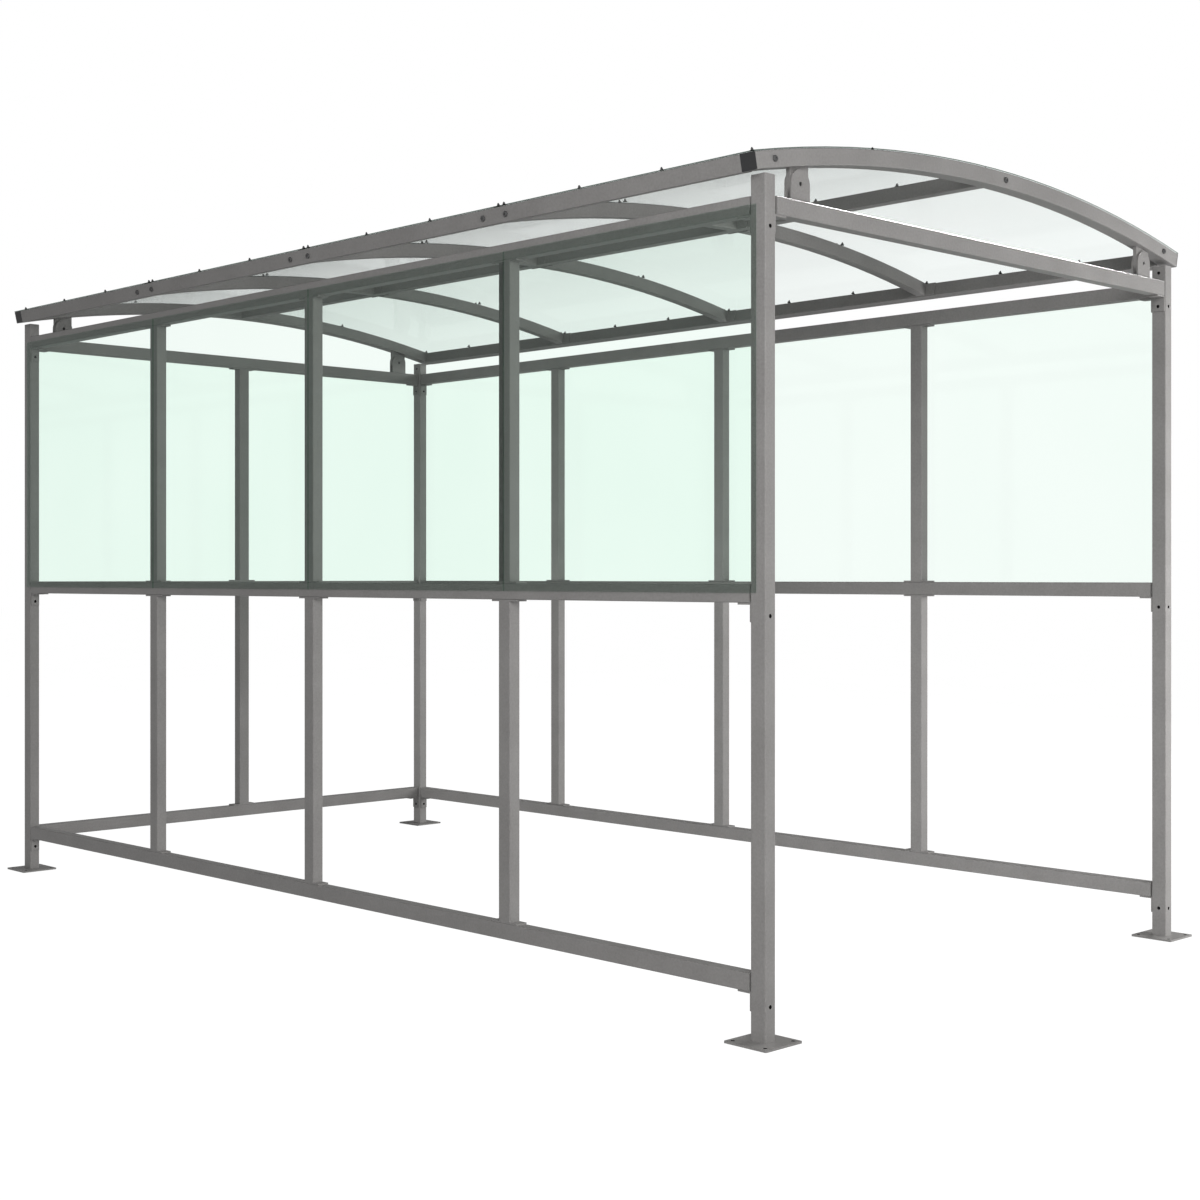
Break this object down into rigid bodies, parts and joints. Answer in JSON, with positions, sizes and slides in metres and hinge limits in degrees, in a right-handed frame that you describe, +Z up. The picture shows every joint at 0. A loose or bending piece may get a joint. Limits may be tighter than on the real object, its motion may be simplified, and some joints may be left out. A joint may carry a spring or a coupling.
{
  "type": "smoking shelter",
  "caption": "Free-standing smoking shelter: grey tube frame, clear panels on the upper half of the long sides and one end, an open entrance end and a shallow curved translucent roof.",
  "frame": {"origin": "on the ground, at the middle of the plan", "axes": "+X along the long side towards the open entrance end, -Y towards the front long side, +Z up"},
  "size_m": [4.094, 2.174, 2.4035],
  "materials": {
    "powder_coat": "satin grey powder coat",
    "clear_panel": "clear glazing with a faint green tint",
    "roof_sheet": "translucent, lightly frosted plastic sheet",
    "dark_plastic": "matt dark grey plastic",
    "dark_steel": "black oxide steel"
  },
  "bodies": {
    "root": {"front_right_post": "powder_coat", "back_right_post": "powder_coat", "front_left_post": "powder_coat", "back_left_post": "powder_coat", "base_plates": "powder_coat", "front_bottom_rail": "powder_coat", "front_middle_rail": "powder_coat", "front_top_rail": "powder_coat", "back_bottom_rail": "powder_coat", "back_middle_rail": "powder_coat", "back_top_rail": "powder_coat", "closed_end_bottom_rail": "powder_coat", "closed_end_middle_rail": "powder_coat", "closed_end_top_rail": "powder_coat", "open_end_top_beam": "powder_coat", "front_rail_brackets": "powder_coat", "back_rail_brackets": "powder_coat", "closed_end_rail_brackets": "powder_coat", "open_end_beam_brackets": "powder_coat", "front_lower_mullions": "powder_coat", "front_upper_mullions": "powder_coat", "back_lower_mullions": "powder_coat", "back_upper_mullions": "powder_coat", "closed_end_lower_mullion": "powder_coat", "closed_end_upper_mullion": "powder_coat", "front_mullion_plates": "powder_coat", "back_mullion_plates": "powder_coat", "closed_end_mullion_plates": "powder_coat", "front_panels": "clear_panel", "back_panels": "clear_panel", "closed_end_panels": "clear_panel", "open_end_arch": "powder_coat", "closed_end_arch": "powder_coat", "arch_end_caps": "dark_plastic", "front_eave_rail": "powder_coat", "back_eave_rail": "powder_coat", "ridge_purlin": "powder_coat", "front_roof_ribs": "powder_coat", "back_roof_ribs": "powder_coat", "rib_end_plates": "powder_coat", "roof_sheets": "roof_sheet", "roof_bracket_clevises": "powder_coat", "roof_bracket_lugs": "powder_coat", "roof_bracket_pins": "dark_steel"}
  },
  "joints": []
}
